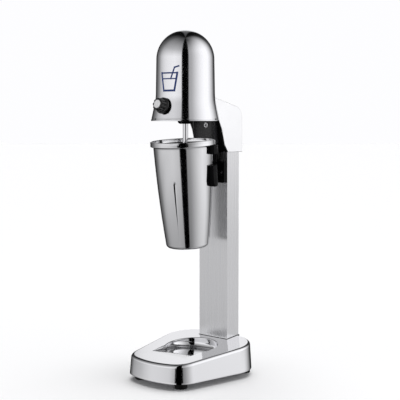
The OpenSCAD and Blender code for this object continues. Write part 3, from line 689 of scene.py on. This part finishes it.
def build_head():
    """A turned skin with a rounded lip and a round dome, but no holes for screws or the knob's shaft."""
    dome_z = TOP - HEAD_R
    outer = [(SKIRT_R - 0.5, HEAD_Z), (SKIRT_R - 0.12, HEAD_Z + 0.12), (SKIRT_R, HEAD_Z + 0.5)]
    lip_top = HEAD_Z + 2.0
    outer += [(SKIRT_R - 0.05, lip_top)]
    steps, wall_z = 34, lip_top + 0.6
    heights = [wall_z + (dome_z - lip_top - 0.6) * i / steps for i in range(steps)]
    outer += [(head_radius(z), z) for z in heights]
    outer += arc(0, dome_z, HEAD_R, 0, 89.7, 40)
    inner = [(0.2, TOP - HEAD_T)] + arc(0, dome_z, HEAD_R - HEAD_T, 88, 0, 16)
    inner += [(WAIST_R - HEAD_T, WAIST_Z), (SKIRT_R - HEAD_T, HEAD_Z)]
    verts, faces = revolve(outer + inner, even_angles(160))
    verts = [(v + Vector((0, SPINDLE_Y * 1000, 0))) * MM for v in verts]
    mesh_piece("head_cowl", verts, faces, "polished_head", "head_shell")


def build_emblem():
    """A plain tumbler pictogram printed on the front of the head: straight bars wrapped round the shell."""
    verts, faces = [], []
    for first, last, width in EMBLEM_BARS:
        a, b = Vector(first), Vector(last)
        along = (b - a).normalized()
        across = Vector((-along.y, along.x)) * width / 2
        a, b = a - along * width / 2, b + along * width / 2
        count = 16
        start = len(verts)
        for i in range(count + 1):
            middle = a.lerp(b, i / count)
            for p in (middle - across, middle + across):
                z = EMBLEM_Z + p.y
                r = head_radius(z) + EMBLEM_LIFT
                angle = math.radians(EMBLEM_TURN - 90) + p.x / r
                verts.append(Vector((r * math.cos(angle), r * math.sin(angle) + SPINDLE_Y * 1000, z)) * MM)
        for i in range(count):
            q = start + 2 * i
            faces.append((q, q + 1, q + 3, q + 2))
    mesh = bpy.data.meshes.new("emblem")
    mesh.from_pydata([tuple(v) for v in verts], [], faces)
    piece = bpy.data.objects.new("emblem", mesh)
    scene.collection.objects.link(piece)
    mesh.materials.append(surface("emblem_blue", (0.0, 0.035, 0.21), 0.3, tint=0.1, vary=0.2))
    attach(piece, "frame")


# ---------- cup ----------

CUP_AT = Vector((0, -2.6, 200.6))
CUP_LEAN = math.radians(4)
CUP_LEN = 163.3
RIM_R = 49.7
RIM_H = 7.8
CUP_T = 1.0
FLUTES = [21, 141, 261]
FLUTE_TOP = 104.0
FLUTE_LOW = 12.0
FLUTE_WIDTH = 2.5
FLUTE_SLOPE = 0.39
# Share of a flute's length that its rounded top takes, and how much width and slope it loses by its low end
FLUTE_NOSE = 0.03
FLUTE_NARROWS = 0.72
FLUTE_EASES = 0.5
# The wall's radius at one height up the cup, how fast it grows there, and how much it bulges
WALL_R = 36.6
WALL_S = 35.5
WALL_GROWTH = 0.0918
BULGE = 0.000268
BULGE_S = 85.6


def cup_r(s):
    """Radius of the wall at a distance up the cup's own axis."""
    return WALL_R + WALL_GROWTH * (s - WALL_S) - BULGE * (s - WALL_S) * (s - BULGE_S)


def flute(r, s, angle):
    """Presses V-shaped flutes into the wall: widest and deepest at the top, running out to a line."""
    if not FLUTE_LOW < s < FLUTE_TOP or r < 25:
        return r
    t = (FLUTE_TOP - s) / (FLUTE_TOP - FLUTE_LOW)
    width = FLUTE_WIDTH * min(1.0, (t / FLUTE_NOSE) ** 0.5) * (1 - FLUTE_NARROWS * t)
    for turn in FLUTES:
        off = (angle - math.radians(turn - 90) + math.pi) % (2 * math.pi) - math.pi
        r -= FLUTE_SLOPE * (1 - FLUTE_EASES * t) * max(0.0, width - abs(off) * r)
    return r


def cup_angles():
    """Bearings of the wall's points: even all round, and close together at the flutes."""
    even = even_angles(240)
    close = []
    for turn in FLUTES:
        middle = math.radians(turn - 90)
        even = [a for a in even if abs((a - middle + math.pi) % (2 * math.pi) - math.pi) > math.radians(3.9)]
        close += [(middle + math.radians(3.6 * k / 14)) % (2 * math.pi) for k in range(-14, 15)]
    return sorted(even + close)


def build_cup():
    """A thin turned cup with a rolled rim and pressed flutes, leaning as it hangs in the holder."""
    corner, rim_s = 6.0, CUP_LEN - RIM_H
    steps = 96
    walls = [corner + (rim_s - 2.0 - corner) * i / steps for i in range(1, steps + 1)]
    outer = [(0.3, 0.6), (22, 0.6), (25.5, 0.0)]
    outer += arc(cup_r(corner) - corner, corner, corner, -88, 0, 12)
    outer += [(cup_r(s), s) for s in walls]
    body_top = cup_r(rim_s)
    outer += [(body_top + 0.25, rim_s - 0.9), (body_top + 1.0, rim_s - 0.15), (RIM_R - 1.2, rim_s)]
    outer += arc(RIM_R - 1.0, rim_s + 1.0, 1.0, -70, 0, 4)
    outer += [(RIM_R - 0.05, rim_s + 3.2), (RIM_R - 0.05, rim_s + 5.0)]
    outer += arc(RIM_R - 0.95, CUP_LEN - 0.95, 0.95, 0, 180, 12)
    outer += [(RIM_R - 1.9, rim_s + 2.4), (RIM_R - 2.6, rim_s + 1.3), (body_top + 0.4, rim_s + 0.7)]
    inner = [(cup_r(s) - CUP_T, s) for s in reversed(walls)]
    inner += arc(cup_r(corner) - corner, corner, corner - CUP_T, 0, -88, 8)
    inner += [(25.5, CUP_T), (22, 1.5), (0.3, 1.5)]
    verts, faces = revolve(outer + inner, cup_angles(), flute)
    placed = []
    for v in verts:
        y = v.y * math.cos(CUP_LEAN) - v.z * math.sin(CUP_LEAN)
        z = v.y * math.sin(CUP_LEAN) + v.z * math.cos(CUP_LEAN)
        placed.append((Vector((v.x, y, z)) + CUP_AT) * MM)
    mesh_piece("malt_cup", placed, faces, "polished_cup", "cup", sharp=60)


# ---------- speed knob ----------

KNOB_AT = Vector((0, -55.624, 415.0))
KNOB_AXIS = Vector((0, -0.978148, 0.207912))
KNOB_LOBES = 9
SCALLOP_DEPTH = 1.5
SCALLOP_SHARPNESS = 2.2
SCALLOP_RUN = 1.2


def build_knob():
    """A skirt below a grip with deep round scallops, and a seat for the bright cap."""
    grip_low, grip_top = 6.0, 14.6

    def scallop(r, h, angle):
        if r < 7.5 or h < grip_low - 0.4:
            return r
        dip = (0.5 + 0.5 * math.cos(KNOB_LOBES * angle)) ** SCALLOP_SHARPNESS
        return r - SCALLOP_DEPTH * dip * min(1.0, (h - grip_low + 0.4) / SCALLOP_RUN)

    outer = [(11.9, 3.05), (12.3, 3.2), (12.35, 3.6), (12.1, 4.9), (11.8, 5.3), (11.4, 5.5), (10.5, 5.6)]
    outer += [(10.2, 5.9)]
    outer += [(10.15 - 0.75 * k / 8, grip_low + (grip_top - grip_low) * k / 8) for k in range(9)]
    outer += [(9.2, 15.0), (8.8, 15.25), (8.2, 15.3), (6.35, 15.3), (6.3, 14.6)]
    inner = [(3.0, 14.5), (3.0, 5.2), (6.4, 5.2), (6.4, 3.05)]
    verts, faces = revolve(outer + inner, even_angles(216), scallop)
    side = Vector((1, 0, 0))
    up = KNOB_AXIS.cross(side)
    placed = [(KNOB_AT + side * v.x + up * v.y + KNOB_AXIS * v.z) * MM for v in verts]
    mesh_piece("knob_grip", placed, faces, "knob_plastic", "speed_knob", sharp=50)


# ---------- carried-over CAD nodes ----------

# Width of the rounding in millimetres
SOFT_EDGES = {
    "column": 1.1, "rear_cover": 0.8, "neck_guard": 0.8, "head_arm": 0.8, "cup_holder": 0.9,
    "foot_front_left": 1.2, "foot_front_right": 1.2, "foot_rear_left": 1.2, "foot_rear_right": 1.2,
    "knob_cap": 0.4, "cord_gland": 0.6, "neck_screw": 0.5, "head_plate": 0.5,
    "spindle": 0.3, "agitator": 0.3, "shell_screws": 0.2, "bushing_cap": 0.3, "base_plate": 0.3,
    "rear_cover_screws": 0.1, "base_plate_screws": 0.3, "foot_screws": 0.3, "column_bolts": 0.4,
}
# Nodes whose smallest facets would otherwise hold the rounding back everywhere
UNCLAMPED = ("rear_cover",)


def finish_nodes():
    """Gives each CAD node its slot's material, and rounds the edges that show."""
    for entry in frame["record"]["subparts"]:
        item = nodes[entry["node"]]
        item.data.materials.clear()
        item.data.materials.append(MATERIALS[entry["material_slot"]])
        if entry["node"] in SOFT_EDGES:
            soften(entry["node"], SOFT_EDGES[entry["node"]])


MATERIALS = make_materials()
make_camera()
make_studio()
finish_nodes()
build_base()
build_seal()
build_head()
build_emblem()
build_cup()
build_knob()
